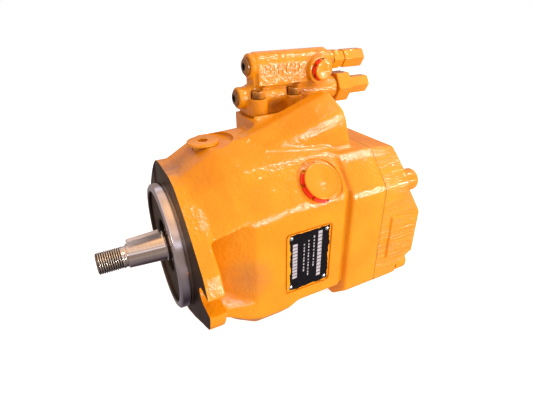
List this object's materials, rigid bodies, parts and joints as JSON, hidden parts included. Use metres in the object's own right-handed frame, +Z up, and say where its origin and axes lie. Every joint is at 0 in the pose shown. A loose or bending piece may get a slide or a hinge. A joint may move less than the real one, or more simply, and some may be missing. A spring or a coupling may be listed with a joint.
{
  "type": "axial piston pump",
  "caption": "Variable axial piston pump with two-bolt flange, keyed taper shaft, tilting swashplate, piston group, rear port plate and a control valve on top.",
  "frame": {"origin": "centre of the drive shaft's end face", "axes": "+X runs along the shaft towards the rear cover, +Z up towards the control valve, +Y completes the right-handed frame"},
  "size_m": [0.324, 0.213, 0.257],
  "materials": {
    "housing_paint": "glossy orange-yellow enamel over cast iron, flange face and pilot turned bare",
    "yellow_paint": "glossy orange-yellow enamel",
    "shaft_steel": "ground steel with turning marks",
    "inner_steel": "ground and lapped steel",
    "spring_steel": "oiled spring wire",
    "bronze": "lapped bronze",
    "red_plastic": "red polyethylene cap, its face overpainted",
    "plate_black": "black printed aluminium plate",
    "gasket": "dark fibre sheet",
    "seal_rubber": "black nitrile rubber"
  },
  "bodies": {
    "housing": {"pump_housing": "housing_paint", "port_plate": "yellow_paint", "cover_gasket": "gasket", "cover_bolt_1": "yellow_paint", "cover_bolt_2": "yellow_paint", "cover_bolt_3": "yellow_paint", "cover_bolt_4": "yellow_paint", "shaft_seal": "seal_rubber", "front_bearing_cup": "inner_steel", "rear_bearing": "inner_steel", "valve_plate": "bronze", "cradle_bearing_1": "bronze", "cradle_bearing_2": "bronze", "control_valve_body": "yellow_paint", "upper_end_plug": "yellow_paint", "lower_end_plug": "yellow_paint", "upper_lock_nut": "yellow_paint", "lower_spring_housing": "yellow_paint", "valve_screw_1": "yellow_paint", "valve_screw_2": "yellow_paint", "valve_screw_3": "yellow_paint", "valve_screw_4": "yellow_paint", "valve_port_cap": "red_plastic", "drain_port_cap": "red_plastic", "top_plug": "yellow_paint", "nameplate": "plate_black", "return_spring": "spring_steel", "pressure_spring": "spring_steel", "flow_spring": "spring_steel"},
    "rotating_group": {"drive_shaft": "shaft_steel", "shaft_key": "shaft_steel", "front_bearing_cone": "inner_steel", "cylinder_block": "inner_steel", "retaining_ball": "inner_steel"},
    "swash": {"swashplate": "inner_steel"},
    "slipper_retainer": {"retaining_plate": "inner_steel"},
    "stroking": {"stroking_piston": "inner_steel"},
    "counter": {"counter_piston": "inner_steel"},
    "pressure_spool": {"pressure_spool": "inner_steel"},
    "flow_spool": {"flow_spool": "inner_steel"},
    "upper_cap": {"upper_adjuster_cap": "yellow_paint"},
    "lower_cap": {"lower_adjuster_cap": "yellow_paint"},
    "piston_1": {"piston_1": "inner_steel"},
    "slipper_1": {"slipper_1": "bronze"},
    "piston_2": {"piston_2": "inner_steel"},
    "slipper_2": {"slipper_2": "bronze"},
    "piston_3": {"piston_3": "inner_steel"},
    "slipper_3": {"slipper_3": "bronze"},
    "piston_4": {"piston_4": "inner_steel"},
    "slipper_4": {"slipper_4": "bronze"},
    "piston_5": {"piston_5": "inner_steel"},
    "slipper_5": {"slipper_5": "bronze"},
    "piston_6": {"piston_6": "inner_steel"},
    "slipper_6": {"slipper_6": "bronze"},
    "piston_7": {"piston_7": "inner_steel"},
    "slipper_7": {"slipper_7": "bronze"},
    "piston_8": {"piston_8": "inner_steel"},
    "slipper_8": {"slipper_8": "bronze"},
    "piston_9": {"piston_9": "inner_steel"},
    "slipper_9": {"slipper_9": "bronze"}
  },
  "joints": [
    {"name": "shaft_spin", "type": "hinge", "parent": "housing", "child": "rotating_group", "pos_m": [0, 0, 0], "axis": [1, 0, 0], "range_deg": [-180, 360]},
    {"name": "swash_tilt", "type": "hinge", "parent": "housing", "child": "swash", "pos_m": [0.156, 0, 0], "axis": [0, 1, 0], "range_deg": [0, 17]},
    {"name": "retainer_spin", "type": "hinge", "parent": "swash", "child": "slipper_retainer", "pos_m": [0.156, 0, 0], "axis": [1, 0, 0], "range_deg": [-180, 360]},
    {"name": "piston_1_slide", "type": "slide", "parent": "rotating_group", "child": "piston_1", "axis": [1, 0, 0], "range_m": [0, 0.01131]},
    {"name": "slipper_1_tilt", "type": "hinge", "parent": "piston_1", "child": "slipper_1", "pos_m": [0.156, 0, 0.037], "axis": [0, 1, 0], "range_deg": [0, 17]},
    {"name": "piston_2_slide", "type": "slide", "parent": "rotating_group", "child": "piston_2", "axis": [1, 0, 0], "range_m": [0, 0.00867]},
    {"name": "slipper_2_tilt", "type": "hinge", "parent": "piston_2", "child": "slipper_2", "pos_m": [0.156, -0.02378, 0.02834], "axis": [0, 1, 0], "range_deg": [0, 17]},
    {"name": "piston_3_slide", "type": "slide", "parent": "rotating_group", "child": "piston_3", "axis": [1, 0, 0], "range_m": [0, 0.00197]},
    {"name": "slipper_3_tilt", "type": "hinge", "parent": "piston_3", "child": "slipper_3", "pos_m": [0.156, -0.03644, 0.00643], "axis": [0, 1, 0], "range_deg": [0, 17]},
    {"name": "piston_4_slide", "type": "slide", "parent": "rotating_group", "child": "piston_4", "axis": [1, 0, 0], "range_m": [-0.00566, 0]},
    {"name": "slipper_4_tilt", "type": "hinge", "parent": "piston_4", "child": "slipper_4", "pos_m": [0.156, -0.03204, -0.0185], "axis": [0, 1, 0], "range_deg": [0, 17]},
    {"name": "piston_5_slide", "type": "slide", "parent": "rotating_group", "child": "piston_5", "axis": [1, 0, 0], "range_m": [-0.01063, 0]},
    {"name": "slipper_5_tilt", "type": "hinge", "parent": "piston_5", "child": "slipper_5", "pos_m": [0.156, -0.01265, -0.03477], "axis": [0, 1, 0], "range_deg": [0, 17]},
    {"name": "piston_6_slide", "type": "slide", "parent": "rotating_group", "child": "piston_6", "axis": [1, 0, 0], "range_m": [-0.01063, 0]},
    {"name": "slipper_6_tilt", "type": "hinge", "parent": "piston_6", "child": "slipper_6", "pos_m": [0.156, 0.01265, -0.03477], "axis": [0, 1, 0], "range_deg": [0, 17]},
    {"name": "piston_7_slide", "type": "slide", "parent": "rotating_group", "child": "piston_7", "axis": [1, 0, 0], "range_m": [-0.00566, 0]},
    {"name": "slipper_7_tilt", "type": "hinge", "parent": "piston_7", "child": "slipper_7", "pos_m": [0.156, 0.03204, -0.0185], "axis": [0, 1, 0], "range_deg": [0, 17]},
    {"name": "piston_8_slide", "type": "slide", "parent": "rotating_group", "child": "piston_8", "axis": [1, 0, 0], "range_m": [0, 0.00197]},
    {"name": "slipper_8_tilt", "type": "hinge", "parent": "piston_8", "child": "slipper_8", "pos_m": [0.156, 0.03644, 0.00643], "axis": [0, 1, 0], "range_deg": [0, 17]},
    {"name": "piston_9_slide", "type": "slide", "parent": "rotating_group", "child": "piston_9", "axis": [1, 0, 0], "range_m": [0, 0.00867]},
    {"name": "slipper_9_tilt", "type": "hinge", "parent": "piston_9", "child": "slipper_9", "pos_m": [0.156, 0.02378, 0.02834], "axis": [0, 1, 0], "range_deg": [0, 17]},
    {"name": "stroking_slide", "type": "slide", "parent": "housing", "child": "stroking", "axis": [0.9613, 0, 0.2756], "range_m": [0, 0.0249]},
    {"name": "counter_slide", "type": "slide", "parent": "housing", "child": "counter", "axis": [1, 0, 0], "range_m": [-0.0182, 0], "deforming": ["return_spring"]},
    {"name": "pressure_spool_slide", "type": "slide", "parent": "housing", "child": "pressure_spool", "axis": [1, 0, 0], "range_m": [-0.0005, 0.0018], "deforming": ["pressure_spring"]},
    {"name": "flow_spool_slide", "type": "slide", "parent": "housing", "child": "flow_spool", "axis": [1, 0, 0], "range_m": [-0.0005, 0.0018], "deforming": ["flow_spring"]},
    {"name": "upper_cap_turn", "type": "hinge", "parent": "housing", "child": "upper_cap", "pos_m": [0.281, 0.024, 0.16], "axis": [1, 0, 0], "range_deg": [0, 360]},
    {"name": "lower_cap_turn", "type": "hinge", "parent": "housing", "child": "lower_cap", "pos_m": [0.293, 0.024, 0.131], "axis": [1, 0, 0], "range_deg": [0, 360]}
  ],
  "couplings": [
    {"joint": "retainer_spin", "follows": "shaft_spin", "ratio": 1},
    {"joint": "piston_1_slide", "follows": "swash_tilt", "m_per_rad": 0.038125},
    {"joint": "slipper_1_tilt", "follows": "swash_tilt", "ratio": 1},
    {"joint": "piston_2_slide", "follows": "swash_tilt", "m_per_rad": 0.029205},
    {"joint": "slipper_2_tilt", "follows": "swash_tilt", "ratio": 1},
    {"joint": "piston_3_slide", "follows": "swash_tilt", "m_per_rad": 0.0066203},
    {"joint": "slipper_3_tilt", "follows": "swash_tilt", "ratio": 1},
    {"joint": "piston_4_slide", "follows": "swash_tilt", "m_per_rad": -0.019062},
    {"joint": "slipper_4_tilt", "follows": "swash_tilt", "ratio": 1},
    {"joint": "piston_5_slide", "follows": "swash_tilt", "m_per_rad": -0.035826},
    {"joint": "slipper_5_tilt", "follows": "swash_tilt", "ratio": 1},
    {"joint": "piston_6_slide", "follows": "swash_tilt", "m_per_rad": -0.035826},
    {"joint": "slipper_6_tilt", "follows": "swash_tilt", "ratio": 1},
    {"joint": "piston_7_slide", "follows": "swash_tilt", "m_per_rad": -0.019062},
    {"joint": "slipper_7_tilt", "follows": "swash_tilt", "ratio": 1},
    {"joint": "piston_8_slide", "follows": "swash_tilt", "m_per_rad": 0.0066203},
    {"joint": "slipper_8_tilt", "follows": "swash_tilt", "ratio": 1},
    {"joint": "piston_9_slide", "follows": "swash_tilt", "m_per_rad": 0.029205},
    {"joint": "slipper_9_tilt", "follows": "swash_tilt", "ratio": 1},
    {"joint": "stroking_slide", "follows": "swash_tilt", "m_per_rad": 0.0839},
    {"joint": "counter_slide", "follows": "swash_tilt", "m_per_rad": -0.0613}
  ]
}
